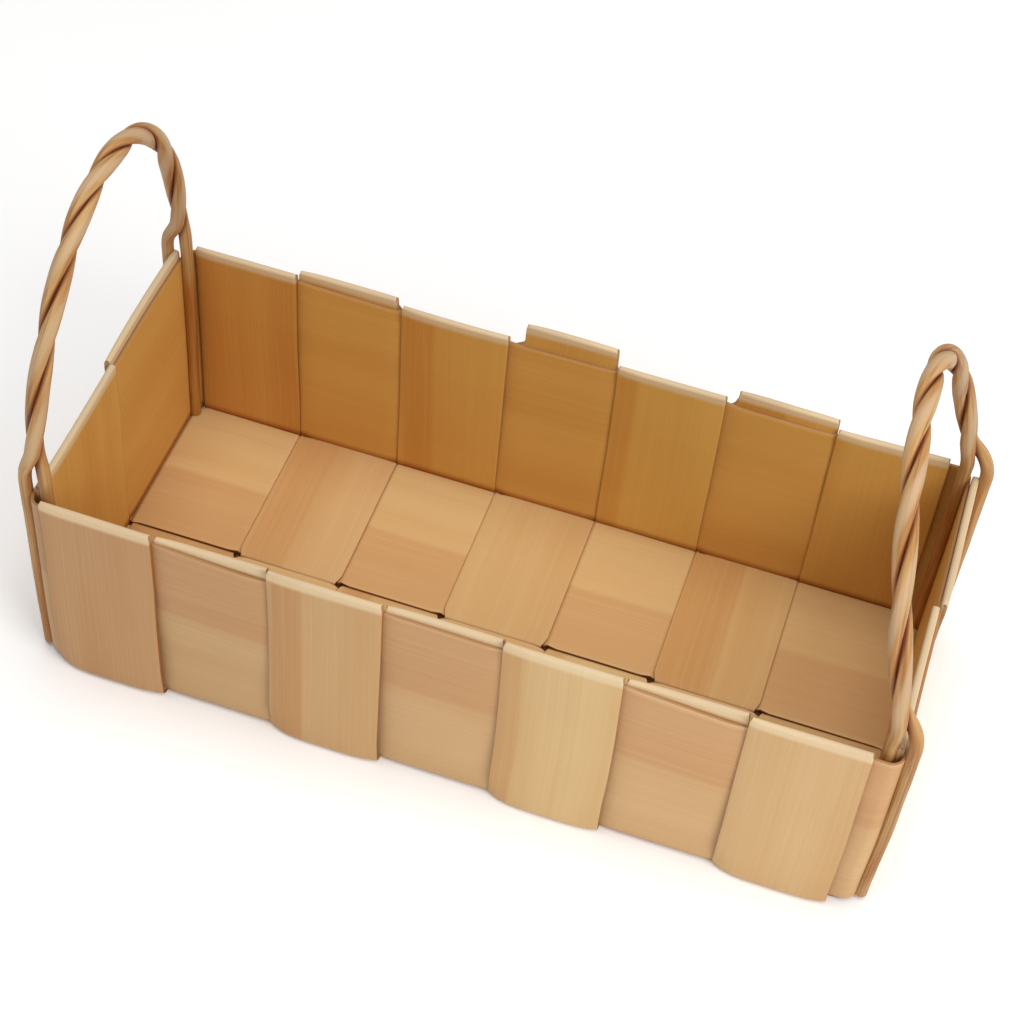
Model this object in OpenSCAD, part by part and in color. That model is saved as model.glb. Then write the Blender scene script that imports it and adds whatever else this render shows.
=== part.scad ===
// Woven splint basket: seven cross splints, two lengthwise splints, one wall band
// and two handles of twisted willow rods. Millimetres, +Z up, front wall at -Y,
// origin on the floor under the middle of the base.

/* [Splints] */
// Thickness of every splint
splint_t = 1.4; // [1:0.1:1.8]
// Width of a cross splint
cross_w = 52; // [40:1:70]
// Width of a lengthwise splint
long_w = 79; // [60:1:110]
// Space between neighbouring splints
splint_gap = 3; // [2.5:0.1:5]
// Shift of all cross splints towards the left end
cross_shift = 2.5; // [0:0.1:4]
// Clearance between splints where they cross
weave_clearance = 0.15; // [0.1:0.05:0.3]

/* [Walls] */
// Width of the wall band, which stands on edge
band_h = 112; // [60:1:140]
// Height of the wall band's lower edge above the floor
band_lift = 3.6; // [3.2:0.1:6]
// Radius of the bend between base and wall
bend_r = 5; // [4:0.1:6]
// Radius of the wall band at the four corners, in plan
corner_r = 6; // [3:0.1:7]
// Extra roundness of the outer uprights at the floor
bulge = 1.5; // [1:0.1:3]
// From each end of the overlapped seam to the edge of the splint behind it
seam_margin = 8; // [6:0.5:15]

/* [Rim] */
// Space inside the fold at the rim, as a radius
fold_slack = 0.3; // [0.25:0.05:0.8]
// Length of the tail that is tucked behind the wall band
tuck = 34; // [20:1:45]
// Rise of each cross splint's fold above the band, front wall, left to right
front_rise = [6, 4, 6, 3.5, 6, 4, 6]; // [3:0.5:16]
// Rise of each cross splint's fold above the band, back wall, left to right
back_rise = [5, 6, 5, 13, 5, 8.5, 5]; // [3:0.5:16]
// Rise of the two lengthwise splints' folds above the band, front and back
end_rise = [5, 5]; // [3:0.5:16]

/* [Handles] */
// Diameter of a willow rod
rod_d = 6.2; // [4:0.1:8]
// Height of the bow above the wall band
bow_h = 140; // [80:1:200]
// Lean of the left bow towards the middle of the basket, in degrees
left_lean = 4; // [-4:0.5:18]
// Lean of the right bow towards the middle of the basket, in degrees
right_lean = 14; // [-4:0.5:18]
// Full turns that the two rods make round each other
twist_turns = 4; // [2:1:6]
// How much tighter the twist is at the top of the bow than on average, as a share
top_tightening = 0.1; // [0:0.05:0.5]
// Clearance between a rod and what it lies against
rod_clearance = 0.3; // [0.2:0.05:0.5]
// Height over which the two legs of a bow close up to the twist, above the rim
leg_close = 24; // [18:1:50]

/* [Hidden] */
cross_count = 7;
pitch = cross_w + splint_gap;
base_l = cross_count * pitch - splint_gap;
base_w = 2 * long_w + splint_gap;
// Half the distance between the middles of two splints that cross
half_step = (splint_t + weave_clearance) / 2;
// Heights of the middle of a splint that passes under or over another
under_z = splint_t / 2;
over_z = under_z + 2 * half_step;
// From the edge of the outermost splint to the middle of the wall: room to change level and to bend up
ease_room = 0.5;
wall_gap = splint_gap + ease_room + bend_r - half_step;
// Middle of the walls, measured from the middle of the basket
wall_x = base_l / 2 + cross_shift + wall_gap;
wall_y = base_w / 2 + wall_gap;
band_top = band_lift + band_h;
// Where a splint changes from over to under: kept inside the gap, with eased corners
change_inset = 0.3;
change_run = splint_gap - 2 * change_inset;
ease_r = 1.5;
lean_r = 30;
arc_steps = 8;
// The fold at the rim, at mid thickness, with a short flat between its two corners
fold_flat = 0.2;
fold_r = splint_t / 2 + fold_slack;
fold_corner_r = fold_r - fold_flat / 2;
// Distance from the middle of the wall to the outer skin of a folded upright, and of the band
fold_reach = half_step + 2 * fold_r + splint_t / 2;
band_reach = half_step + splint_t / 2;
rod_r = rod_d / 2;
foot_y = wall_y - fold_reach - rod_clearance - rod_r;
// The two twisted rods of a bow go round at this distance from its middle line
twist_slack = 0.1;
helix_r = rod_r + twist_slack;
rod_sides = 10;
leg_rings = 10;
bow_rings = 96;
tip_share = 0.8;
tangent_step = 0.001;
pine = [0.82, 0.62, 0.38];
pine_band = [0.78, 0.58, 0.37];
willow = [0.72, 0.52, 0.29];

// Vector and path helpers
function unit(v) = v / norm(v);
function turned(v) = [-v.y, v.x];
function half_turn(a) = a - 360 * round(a / 360);
function reversed(list) = [for (k = [len(list) - 1:-1:0]) list[k]];
function smooth(x) = let (s = max(0, min(1, x))) s * s * (3 - 2 * s);

// An arc of the given radius that rounds the corner b between a and c
function corner_arc(a, b, c, radius) =
    let (
        u = unit(a - b),
        v = unit(c - b),
        half = acos(u * v) / 2,
        start = b + u * radius / tan(half),
        middle = b + unit(u + v) * radius / sin(half),
        end = b + v * radius / tan(half),
        from = atan2(start.y - middle.y, start.x - middle.x),
        sweep = half_turn(atan2(end.y - middle.y, end.x - middle.x) - from)
    )
    [for (k = [0:arc_steps]) middle + radius * [cos(from + sweep * k / arc_steps), sin(from + sweep * k / arc_steps)]];

// A path through points [x, y, corner radius], each inner corner rounded
function round_path(points) =
    let (
        xy = [for (p = points) [p[0], p[1]]],
        last = len(points) - 1
    )
    [
        xy[0],
        for (k = [1:last - 1]) each corner_arc(xy[k - 1], xy[k], xy[k + 1], points[k][2]),
        xy[last]
    ];

// The path moved sideways by d, to its left
function beside(path, d) =
    let (last = len(path) - 1)
    [
        for (k = [0:last])
            let (
                before = turned(unit(path[max(k, 1)] - path[max(k, 1) - 1])),
                after = turned(unit(path[min(k, last - 1) + 1] - path[min(k, last - 1)]))
            )
            path[k] + d * (before + after) / (1 + before * after)
    ];

// Outline of a strip of splint thickness along a path
function strip(path) = concat(beside(path, splint_t / 2), reversed(beside(path, -splint_t / 2)));

// One end of a splint, from the base to the tip of the tucked tail, as [distance from the middle, z, radius].
// An outer upright steps down past the last splint and bulges, an inner one runs straight into its bend.
function splint_end(outer, wall, edge, rise) =
    let (
        side = outer ? 1 : -1,
        foot = outer
            ? [
                [edge + change_inset, over_z, ease_r],
                [edge + change_inset + change_run, under_z, ease_r],
                [wall + half_step + bulge, under_z, bend_r]
            ]
            : [[wall - half_step, under_z, bend_r]],
        tail_d = wall + side * half_step,
        upright_d = tail_d + side * 2 * fold_r,
        tip_z = band_top - tuck,
        fold_z = band_top + rise - splint_t / 2
    )
    concat(foot, [
        [upright_d, tip_z, lean_r],
        [upright_d, fold_z, fold_corner_r],
        [tail_d, fold_z, fold_corner_r],
        [tail_d, tip_z, 0]
    ]);

// The places where a splint changes level between its neighbours
function level_changes(gaps, starts_over) = [
    for (k = [0:len(gaps) - 1])
        let (falls = starts_over == (k % 2 == 0))
        each [
            [gaps[k] - change_run / 2, falls ? over_z : under_z, ease_r],
            [gaps[k] + change_run / 2, falls ? under_z : over_z, ease_r]
        ]
];

function mirrored(points) = [for (p = points) [-p[0], p[1], p[2]]];

// Cross splints: odd ones pass over the front lengthwise splint and outside the front of the band
function cross_x(k) = (k - (cross_count + 1) / 2) * pitch - cross_shift;
function is_odd(k) = k % 2 == 1;
function cross_path(k) = round_path(concat(
    mirrored(reversed(splint_end(is_odd(k), wall_y, base_w / 2, front_rise[k - 1]))),
    level_changes([0], is_odd(k)),
    splint_end(!is_odd(k), wall_y, base_w / 2, back_rise[k - 1])
));

module cross_splint(k) {
    color(pine)
        translate([cross_x(k), 0, 0])
            rotate([90, 0, 90])
                linear_extrude(cross_w, center = true)
                    polygon(strip(cross_path(k)));
}

// Lengthwise splints: the back one starts over and ends outside the band, the front one the reverse
function long_path(back) = round_path(concat(
    mirrored(reversed(splint_end(back, wall_x, base_l / 2 + cross_shift, end_rise[back ? 1 : 0]))),
    level_changes([for (k = [1:cross_count - 1]) cross_x(k) + pitch / 2], back),
    splint_end(back, wall_x, base_l / 2 - cross_shift, end_rise[back ? 1 : 0])
));

module long_splint(back) {
    color(pine)
        translate([0, (back ? 1 : -1) * (long_w + splint_gap) / 2, 0])
            rotate([90, 0, 0])
                linear_extrude(long_w, center = true)
                    polygon(strip(long_path(back)));
}

// How far the band lies outside the middle of a wall beside an outer or an inner upright
function band_offset(outer) = outer ? -half_step : half_step;

// The band's course along a long wall, left to right: dir is -1 at the front, 1 at the back
function band_side(dir, from, to) = [
    for (k = [from:to])
        let (
            gap_x = cross_x(k) + pitch / 2,
            outer = is_odd(k) == (dir < 0)
        )
        each [
            [gap_x - change_run / 2, dir * (wall_y + band_offset(outer)), ease_r],
            [gap_x + change_run / 2, dir * (wall_y + band_offset(!outer)), ease_r]
        ]
];

// The band's course along a short wall, front to back: dir is -1 at the left, 1 at the right
function band_end(dir) = [
    [dir * (wall_x + half_step), -(wall_y - half_step), corner_r],
    [dir * (wall_x + half_step), -change_run / 2, ease_r],
    [dir * (wall_x - half_step), change_run / 2, ease_r],
    [dir * (wall_x - half_step), wall_y + half_step, corner_r]
];

// The band starts behind the seam splint, runs left round the basket and ends over its own start
seam_splint = 5;
seam_x = cross_x(seam_splint);
seam_overlap = cross_w - 2 * seam_margin;
seam_inset = 1;
seam_lap_x = seam_x + seam_overlap / 2 + seam_inset;
function band_path() = round_path(concat(
    [[seam_x + seam_overlap / 2, wall_y + half_step, 0]],
    reversed(band_side(1, 1, seam_splint - 1)),
    reversed(band_end(-1)),
    band_side(-1, 1, cross_count - 1),
    band_end(1),
    reversed(band_side(1, seam_splint, cross_count - 1)),
    [
        [seam_lap_x + change_run, wall_y + half_step, ease_r],
        [seam_lap_x, wall_y + 3 * half_step, ease_r],
        [seam_x - seam_overlap / 2, wall_y + 3 * half_step, 0]
    ]
));

module wall_band() {
    color(pine_band)
        translate([0, 0, band_lift])
            linear_extrude(band_h)
                polygon(strip(band_path()));
}

// Handle rods. side is -1 at the left end and 1 at the right, inner tells which rod of the pair.
// A leg stands beside the wall: the front one passes an inner upright, the back one an outer upright.
function leg_offset(inner, front) =
    (inner ? -1 : 1) * ((inner == front ? fold_reach : band_reach) + rod_clearance + rod_r);
leg_foot_z = 2 * splint_t + weave_clearance + rod_clearance;
leg_straight = max(end_rise) + rod_clearance;
bow_rise = bow_h - helix_r - rod_r;

// How far the rods are clear of the rim at share s of the bow: 0 beside the fold, 1 where they are closed up
function clear_share(s) = smooth((bow_rise * sin(180 * s) - leg_straight) / leg_close);

// Middle line of the bow at share s of its sweep, as [out from the wall, y, z]
function bow_point(s, lean) =
    let (rise = bow_rise * sin(180 * s))
    [-rise * clear_share(s) * tan(lean), -foot_y * cos(180 * s), band_top + rise];

function bow_tangent(s, lean) = unit(bow_point(s + tangent_step, lean) - bow_point(s - tangent_step, lean));

// Angle of the twist at share s of the bow: none beside the folds, tightest at the top
function twist_angle(s) =
    let (
        full = 360 * twist_turns,
        even = full * (s - top_tightening * sin(360 * s) / (2 * PI))
    )
    s < 0.5 ? even * clear_share(s) : full - (full - even) * clear_share(s);

// A point on a rod's middle line along the bow, twisted about the bow's own line.
// lay is 1 where the twist is right-handed and -1 where it is left-handed.
function rod_bow_point(inner, s, lean, lay) =
    let (
        closed = clear_share(s),
        reach = abs(leg_offset(inner, s < 0.5)) * (1 - closed) + helix_r * closed,
        angle = lay * twist_angle(s) + (inner ? 180 : 0),
        run = bow_tangent(s, lean),
        out = unit([1, 0, 0] - run * run.x),
        along = cross(run, out)
    )
    bow_point(s, lean) + reach * (cos(angle) * out + sin(angle) * along);

// One leg of a rod, from its foot up to the bow
function rod_leg(inner, front) = [
    for (k = [0:leg_rings - 1])
        [
            leg_offset(inner, front),
            front ? -foot_y : foot_y,
            leg_foot_z + (band_top - leg_foot_z) * k / leg_rings
        ]
];

// A whole rod: up the front leg, over the bow, down the back leg, as [out, y, z]
function rod_path(inner, lean, lay) = concat(
    rod_leg(inner, true),
    [for (k = [0:bow_rings]) rod_bow_point(inner, k / bow_rings, lean, lay)],
    reversed(rod_leg(inner, false))
);

// A closed tube of rod_sides sides along a path, thinner at its two tips
module tube(path, radius) {
    last = len(path) - 1;
    points = [
        for (k = [0:last])
            let (
                run = unit(path[min(k + 1, last)] - path[max(k - 1, 0)]),
                out = unit([1, 0, 0] - run * run.x),
                along = cross(run, out),
                r = radius * (k == 0 || k == last ? tip_share : 1)
            )
            for (j = [0:rod_sides - 1])
                let (a = 360 * (j + 0.5) / rod_sides)
                path[k] + r * (cos(a) * out + sin(a) * along)
    ];
    walls = [
        for (k = [0:last - 1])
            for (j = [0:rod_sides - 1])
                let (
                    a = k * rod_sides + j,
                    b = k * rod_sides + (j + 1) % rod_sides
                )
                each [[a, a + rod_sides, b], [b, a + rod_sides, b + rod_sides]]
    ];
    ends = [
        for (j = [1:rod_sides - 2])
            each [[0, j, j + 1], [last * rod_sides, last * rod_sides + j + 1, last * rod_sides + j]]
    ];
    polyhedron(points, concat(walls, ends));
}

// The left bow is the right one mirrored, so its lay is turned first: both bows end up right-handed
module handle_rod(side, inner) {
    color(willow)
        translate([side * wall_x, 0, 0])
            mirror([side < 0 ? 1 : 0, 0, 0])
                tube(rod_path(inner, side < 0 ? left_lean : right_lean, side), rod_r);
}

cross_splint(1);  // cross_splint_1
cross_splint(2);  // cross_splint_2
cross_splint(3);  // cross_splint_3
cross_splint(4);  // cross_splint_4
cross_splint(5);  // cross_splint_5
cross_splint(6);  // cross_splint_6
cross_splint(7);  // cross_splint_7
long_splint(false);  // long_splint_front
long_splint(true);  // long_splint_back
wall_band();
handle_rod(-1, true);  // left_handle_inner_rod
handle_rod(-1, false);  // left_handle_outer_rod
handle_rod(1, true);  // right_handle_inner_rod
handle_rod(1, false);  // right_handle_outer_rod
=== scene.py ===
"""Looks for the splint basket: woven pine splints and two bows of twisted willow rods.

Lengths of the weave are in millimetres, as a basket maker would mark them, and become metres in the meshes.
"""

import math

import bpy
from mathutils import Matrix, Vector


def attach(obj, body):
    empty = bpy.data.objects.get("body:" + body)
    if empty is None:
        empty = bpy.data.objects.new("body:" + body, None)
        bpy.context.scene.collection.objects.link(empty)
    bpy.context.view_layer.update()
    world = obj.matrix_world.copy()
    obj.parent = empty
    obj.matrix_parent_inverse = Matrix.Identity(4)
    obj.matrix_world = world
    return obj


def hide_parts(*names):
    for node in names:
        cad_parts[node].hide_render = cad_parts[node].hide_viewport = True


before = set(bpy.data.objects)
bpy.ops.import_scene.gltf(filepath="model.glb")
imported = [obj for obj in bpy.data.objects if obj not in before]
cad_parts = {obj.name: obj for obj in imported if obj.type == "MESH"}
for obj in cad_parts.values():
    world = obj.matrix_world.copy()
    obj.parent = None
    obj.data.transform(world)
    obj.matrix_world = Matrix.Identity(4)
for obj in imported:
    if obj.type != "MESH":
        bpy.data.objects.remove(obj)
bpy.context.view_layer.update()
MM = 0.001

# Sizes of the weave, as in the part's source, but the front rims follow the photo more closely
SPLINT_T = 1.4
CROSS_W = 52.0
LONG_W = 79.0
SPLINT_GAP = 3.0
CROSS_SHIFT = 2.5
WEAVE_CLEARANCE = 0.15
BAND_H = 112.0
BAND_LIFT = 3.6
BEND_R = 5.0
CORNER_R = 6.0
BULGE = 1.5
FOLD_SLACK = 0.3
TUCK = 34.0
FRONT_RISE = (6, 3, 6, 2.8, 6, 3, 6)
BACK_RISE = (5, 6, 5, 13, 5, 8.5, 5)
END_RISE = (5, 5)
ROD_R = 3.1
BOW_H = 140.0
LEFT_LEAN = 4.0
RIGHT_LEAN = 14.0
TWIST_TURNS = 4
TWIST_SLACK = 0.1
TOP_TIGHTENING = 0.1
ROD_CLEARANCE = 0.3
LEG_CLOSE = 24.0

# What the solids leave out: splints lie closer together and fill the base, the outer uprights of the long
# walls bulge at the floor, and the band changes sides in long soft waves, with a shorter seam between them
LOOK_GAP = 0.3
SLOT_GAP = 1.4
BASE_LOOK_W = 172.6
BASE_LOOK_L = 395.4
INNER_BEND_R = 1.0
OUTER_BEND_R = 3.8
END_BEND_R = 2.4
SIDE_BULGE = 4.5
BAND_RUN = 14.0
BAND_EASE_R = 60.0
SEAM_SPLINT = 5
SEAM_MARGIN = 13.0
LAP_INSET = 1.0

# Slow drift of a splint's edges: its size, and the share, length and shift of its waves
EDGE_DRIFT = 0.2
EDGE_WAVES = ((0.6, 37, 2.1), (0.4, 17, 5.3))
HIGH_EDGE_SHIFT = 3.7
# The power by which the press on a splint's edge fades towards its middle
PRESS_POWER = 4
# Slow unevenness of the whole basket: its size, how often it changes in a metre, and where it sets in
SWAY = 3.0
SWAY_SCALE = 7.0
SWAY_HEIGHT = (2.0, 60.0)

# What the solids leave out of the rods: they thin down the legs and lie flat against each other in the twist
RIM_GIRTH = 0.75
FOOT_GIRTH = 0.5
ROD_FLATTEN = 0.24
ROD_SPREAD = 0.2
ROD_NESTLE = 1.2
ROD_KNOBBLE = 0.7
# How finely the rods are laid out
ROD_SIDES = 20
BOW_RINGS = 220
LEG_RINGS = 40
TANGENT_STEP = 0.001

# Sizes that follow from these, with the small rooms and radii that they need
CROSS_COUNT = 7
PITCH = CROSS_W + SPLINT_GAP
BASE_L = CROSS_COUNT * PITCH - SPLINT_GAP
BASE_W = 2 * LONG_W + SPLINT_GAP
HALF_STEP = (SPLINT_T + WEAVE_CLEARANCE) / 2
UNDER_Z = SPLINT_T / 2
OVER_Z = UNDER_Z + 2 * HALF_STEP
EASE_ROOM = 0.5
WALL_GAP = SPLINT_GAP + EASE_ROOM + BEND_R - HALF_STEP
WALL_X = BASE_L / 2 + CROSS_SHIFT + WALL_GAP
WALL_Y = BASE_W / 2 + WALL_GAP
BAND_TOP = BAND_LIFT + BAND_H
CHANGE_INSET = 0.3
CHANGE_RUN = SPLINT_GAP - 2 * CHANGE_INSET
EASE_R = 1.5
LEAN_R = 30.0
FOLD_FLAT = 0.2
FOLD_R = SPLINT_T / 2 + FOLD_SLACK
FOLD_CORNER_R = FOLD_R - FOLD_FLAT / 2
FOLD_REACH = HALF_STEP + 2 * FOLD_R + SPLINT_T / 2
BAND_REACH = HALF_STEP + SPLINT_T / 2
FOOT_Y = WALL_Y - FOLD_REACH - ROD_CLEARANCE - ROD_R
HELIX_R = ROD_R + TWIST_SLACK
LEG_FOOT_Z = 2 * SPLINT_T + WEAVE_CLEARANCE + ROD_CLEARANCE
LEG_STRAIGHT = max(END_RISE) + ROD_CLEARANCE
BOW_RISE = BOW_H - HELIX_R - ROD_R
CROSS_LOOK_W = PITCH - LOOK_GAP
LONG_LOOK_W = (BASE_LOOK_W - SLOT_GAP) / 2


# Node trees
class Wire:
    """A socket in a node tree. Python's operators on it add Math nodes."""

    def __init__(self, board, socket):
        self.board = board
        self.socket = socket

    def __add__(self, other):
        return self.board.math("ADD", self, other)

    def __radd__(self, other):
        return self.board.math("ADD", other, self)

    def __sub__(self, other):
        return self.board.math("SUBTRACT", self, other)

    def __rsub__(self, other):
        return self.board.math("SUBTRACT", other, self)

    def __mul__(self, other):
        return self.board.math("MULTIPLY", self, other)

    def __rmul__(self, other):
        return self.board.math("MULTIPLY", other, self)

    def __truediv__(self, other):
        return self.board.math("DIVIDE", self, other)

    def __pow__(self, other):
        return self.board.math("POWER", self, other)

    def size(self):
        return self.board.math("ABSOLUTE", self)

    def rounded(self):
        return self.board.math("ROUND", self)

    def at_least(self, low):
        return self.board.math("MAXIMUM", self, low)


class Board:
    """A node tree and the one way of adding nodes to it."""

    def __init__(self, tree):
        self.tree = tree
        tree.nodes.clear()

    def add(self, kind, settings=None, sockets=None, out=0):
        node = self.tree.nodes.new(kind)
        for name, value in (settings or {}).items():
            setattr(node, name, value)
        for key, value in (sockets or {}).items():
            if isinstance(value, Wire):
                self.tree.links.new(value.socket, node.inputs[key])
            else:
                node.inputs[key].default_value = value
        return Wire(self, node.outputs[out]) if node.outputs else node

    def math(self, operation, *values):
        return self.add("ShaderNodeMath", {"operation": operation}, dict(enumerate(values)))

    def step(self, value, low, high):
        """0 below low, 1 above high, smooth between."""
        return self.add(
            "ShaderNodeMapRange",
            {"interpolation_type": "SMOOTHSTEP"},
            {"Value": value, "From Min": low, "From Max": high},
        )

    def parts(self, vector):
        split = self.add("ShaderNodeSeparateXYZ", None, {0: vector}).socket.node
        return [Wire(self, socket) for socket in split.outputs]

    def vector(self, x, y, z):
        return self.add("ShaderNodeCombineXYZ", None, {0: x, 1: y, 2: z})

    def vector_math(self, operation, *values):
        return self.add("ShaderNodeVectorMath", {"operation": operation}, dict(enumerate(values)))

    def scaled(self, vector, factor):
        return self.add("ShaderNodeVectorMath", {"operation": "SCALE"}, {0: vector, "Scale": factor})

    def noise(self, vector, scale=1.0, detail=2.0, roughness=0.5, out="Fac"):
        return self.add(
            "ShaderNodeTexNoise",
            None,
            {"Vector": vector, "Scale": scale, "Detail": detail, "Roughness": roughness},
            out,
        )

    def mix(self, factor, first, second, blend="MIX"):
        """A mix of two colours."""
        return self.add(
            "ShaderNodeMix",
            {"data_type": "RGBA", "blend_type": blend},
            {0: factor, 6: first, 7: second},
            2,
        )

    def mark(self, name, out="Fac"):
        """What the piece carries under that name, in a material."""
        return self.add("ShaderNodeAttribute", {"attribute_name": name}, None, out)

    def place(self):
        return self.add("ShaderNodeTexCoord", None, None, "Object")

    def finish(self, colour, rough, specular, bump=None):
        """The wood or floor itself, and the end of the material."""
        sockets = {"Base Color": colour, "Roughness": rough, "Specular IOR Level": specular}
        if bump:
            sockets["Normal"] = bump
        skin = self.add("ShaderNodeBsdfPrincipled", None, sockets, "BSDF")
        self.add("ShaderNodeOutputMaterial", None, {"Surface": skin})


def tint(red, green, blue):
    """A colour given in screen values from 0 to 255, as linear light."""
    return tuple(
        c / 12.92 if c <= 0.04045 else ((c + 0.055) / 1.055) ** 2.4
        for c in (red / 255, green / 255, blue / 255)
    ) + (1.0,)


# Tones of the pine
HEART = tint(190, 132, 72)
ROSE = tint(198, 150, 102)
DEEP = tint(192, 146, 92)
SHEEN = tint(230, 206, 158)
# Paler rims and crests of the folds: wear with a painted highlight
RIM_WEAR_AND_HIGHLIGHT = tint(218, 196, 158)
CREST_WEAR_AND_HIGHLIGHT = tint(198, 178, 148)
# Inner skins: more orange wood, with painted shade and warm bounce light
INSIDE_TONE_AND_SHADE = tint(255, 236, 172)
# Outer skins, with painted shade on the left, where less light falls
OUTSIDE_TONE = tint(247, 243, 239)
OUTSIDE_LEFT_SHADE = tint(230, 224, 218)
# Painted shade: the base's upper skin a little darker and warmer
BASE_SHADE = tint(247, 245, 235)
FOOT_SHADE = tint(206, 164, 118)
# Painted shade on the cut edges of the splints, in the gaps between them
CUT_EDGE_SHADE = tint(170, 122, 80)
SLOT_SHADE = tint(124, 78, 44)

# Tones of the willow and the floor
WILLOW_PALE = tint(190, 151, 99)
WILLOW_WARM = tint(168, 115, 59)
WILLOW_DARK = tint(110, 62, 22)
KNOT = tint(128, 82, 46)
# Painted shade where the rods lie against each other
GROOVE_SHADE = tint(178, 120, 66)
# Painted sheen on the rods' outer sides
ROD_CREST_SHEEN = tint(196, 172, 140)
# Painted shade on the legs below the rim, deeper on the inner legs
INNER_LEG_SHADE = tint(245, 222, 168)
OUTER_LEG_SHADE = tint(252, 248, 236)
# Painted shadow on the floor under the basket
SHADOW_UNDER_BASKET = tint(84, 50, 28)
FLOOR_DIM = (0.94, 0.94, 0.94, 1.0)
FLOOR_BRIGHT = (0.97, 0.97, 0.97, 1.0)

# Streaks along a splint: how often their noise changes in a metre along it and across it, and its detail
FIBRE_STREAKS = (9, 950, 2.0)
LINE_STREAKS = (2.5, 300, 2.0)
ZONE_STREAKS = (2.2, 34, 1.0)
CLOUD_STREAKS = (12, 22, 2.0)
STREAK_ROUGHNESS = 0.55
# Levels of that noise between which each of them comes up, and how strongly it shows
ZONE_LEVELS = (0.3, 0.7)
LINE_LEVELS = (0.5, 0.8)
FIBRE_LEVELS = (0.45, 0.75)
CLOUD_LEVELS = (0.35, 0.75)
LINE_SHARE = 0.16
FIBRE_SHARE = 0.12
CLOUD_SHARE = 0.12
# A slow drift bends the streaks and the heartwood, which has soft edges and is deeper along the lines
DRIFT_SCALE = (5, 12)
STREAK_DRIFT = 5 * MM
HEART_DRIFT = 6 * MM
HEART_EDGE = 2 * MM
HEART_EVEN = 0.8
HEART_LINES = 0.4
# Depths below a fold's top: its crest and its rim, paler with wear and a painted highlight, and then the
# tones of the walls
CREST_DEPTH = (0.4 * MM, 1.6 * MM)
RIM_DEPTH = (3.2 * MM, 6.2 * MM)
SKIN_DEPTH = (3.0 * MM, 6.5 * MM)
RIM_SHARE = 0.75
# The band's upper edge takes less of that wear and painted highlight, as if it lay this far below a fold's
# top
BAND_EDGE_WEAR_AND_HIGHLIGHT = 5.0
# Painted shade on the cut edges, from the depth where it begins to the depth where it is darkest
CUT_DEPTH = (0.3, 0.05)
CUT_SHARE = 0.7
# How far a skin is turned sideways to count as a wall, or up to count as the base, and the walls' feet
WALL_LEVELS = (0.25, 0.75)
BASE_LEVELS = (0.5, 0.9)
FOOT_HEIGHT = (3 * MM, 8 * MM)
# Painted light: the outside gets lighter from the left to the right
PAINTED_LIGHT_LEFT_TO_RIGHT = (-200 * MM, 100 * MM)
# Half width of the slot along the base, and the height above which it is no longer dark
SLOT_HALF = (1.3 * MM, 1.9 * MM)
SLOT_TOP = (1.8 * MM, 2.7 * MM)
# Sheen and relief of the pine: the fibres shine and the clouds are dull
PINE_ROUGH = 0.6
FIBRE_SHINE = 0.12
SHINE_LEVELS = (0.3, 0.8)
CLOUD_DULL = 0.06
PINE_SPECULAR = 0.35
PINE_RELIEF = {"Strength": 0.2, "Distance": 0.5 * MM}

# Noise of the willow: how often it changes round the rod and along it, its detail and its roughness
RIDGES = (3.2, 7, 3.0, 0.6)
MOTTLE = (0.8, 22, 2.0, 0.5)
KNOTS = (1.4, 60, 1.0, 0.5)
LUMPS = (0.7, 38, 2.0, 0.5)
# Levels of that noise between which each of them comes up, and how strongly it shows
MOTTLE_LEVELS = (0.3, 0.7)
FURROW_LEVELS = (0.0, 0.25)
FURROW_TOP = 0.52
FURROW_SHARE = 0.6
KNOT_LEVELS = (0.7, 0.82)
KNOT_SHARE = 0.5
# How far a skin faces away from the other rod to take a painted sheen, and towards it to take painted brown
# shade
CREST_LEVELS = (0.5, 1.0)
CREST_SHARE = 0.2
CREST_MOTTLE = 0.6
GROOVE_LEVELS = (-0.1, 0.7)
# Heights where a rod takes on the painted shade of its leg, and distances from the middle where it is outside
LEG_SHADE_HEIGHT = ((BAND_TOP - 25) * MM, (BAND_TOP + 10) * MM)
OUTDOORS = ((WALL_X - 2) * MM, (WALL_X + 2) * MM)
# Sheen and relief of the willow: the ridges are dull
WILLOW_ROUGH = 0.48
RIDGE_DULL = 0.2
RIDGE_LEVELS = (0.3, 0.7)
MOTTLE_RELIEF = 0.4
WILLOW_SPECULAR = 0.4
WILLOW_RELIEF = {"Strength": 0.45, "Distance": 0.8 * MM}


def new_material(name):
    material = bpy.data.materials.new(name)
    material.use_nodes = True
    return material, Board(material.node_tree)


def skin_sides(board, below_top):
    """Masks of the walls' inner and outer skins, the base, the inner skins' feet, which take painted shade,
    and the basket's right, towards which painted light grows.
    """
    px, py, pz = board.parts(board.place())
    nx, ny, nz = board.parts(board.add("ShaderNodeNewGeometry", None, None, "Normal"))
    outward = (nx * px) / (WALL_X * MM) + (ny * py) / (WALL_Y * MM)
    below_rim = board.step(below_top, *SKIN_DEPTH)
    inside = board.step(outward * -1, *WALL_LEVELS) * below_rim
    outside = board.step(outward, *WALL_LEVELS) * below_rim
    low = 1 - board.step(pz, *FOOT_HEIGHT)
    base = board.step(nz, *BASE_LEVELS) * low
    return inside, outside, base, inside * low, board.step(px, *PAINTED_LIGHT_LEFT_TO_RIGHT)


def slot_depth(board):
    """1 down in the slot along the middle of the base, where one splint dives under the next."""
    _, py, pz = board.parts(board.place())
    beside = 1 - board.step(py.size(), *SLOT_HALF)
    return beside * (1 - board.step(pz, *SLOT_TOP))


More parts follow.
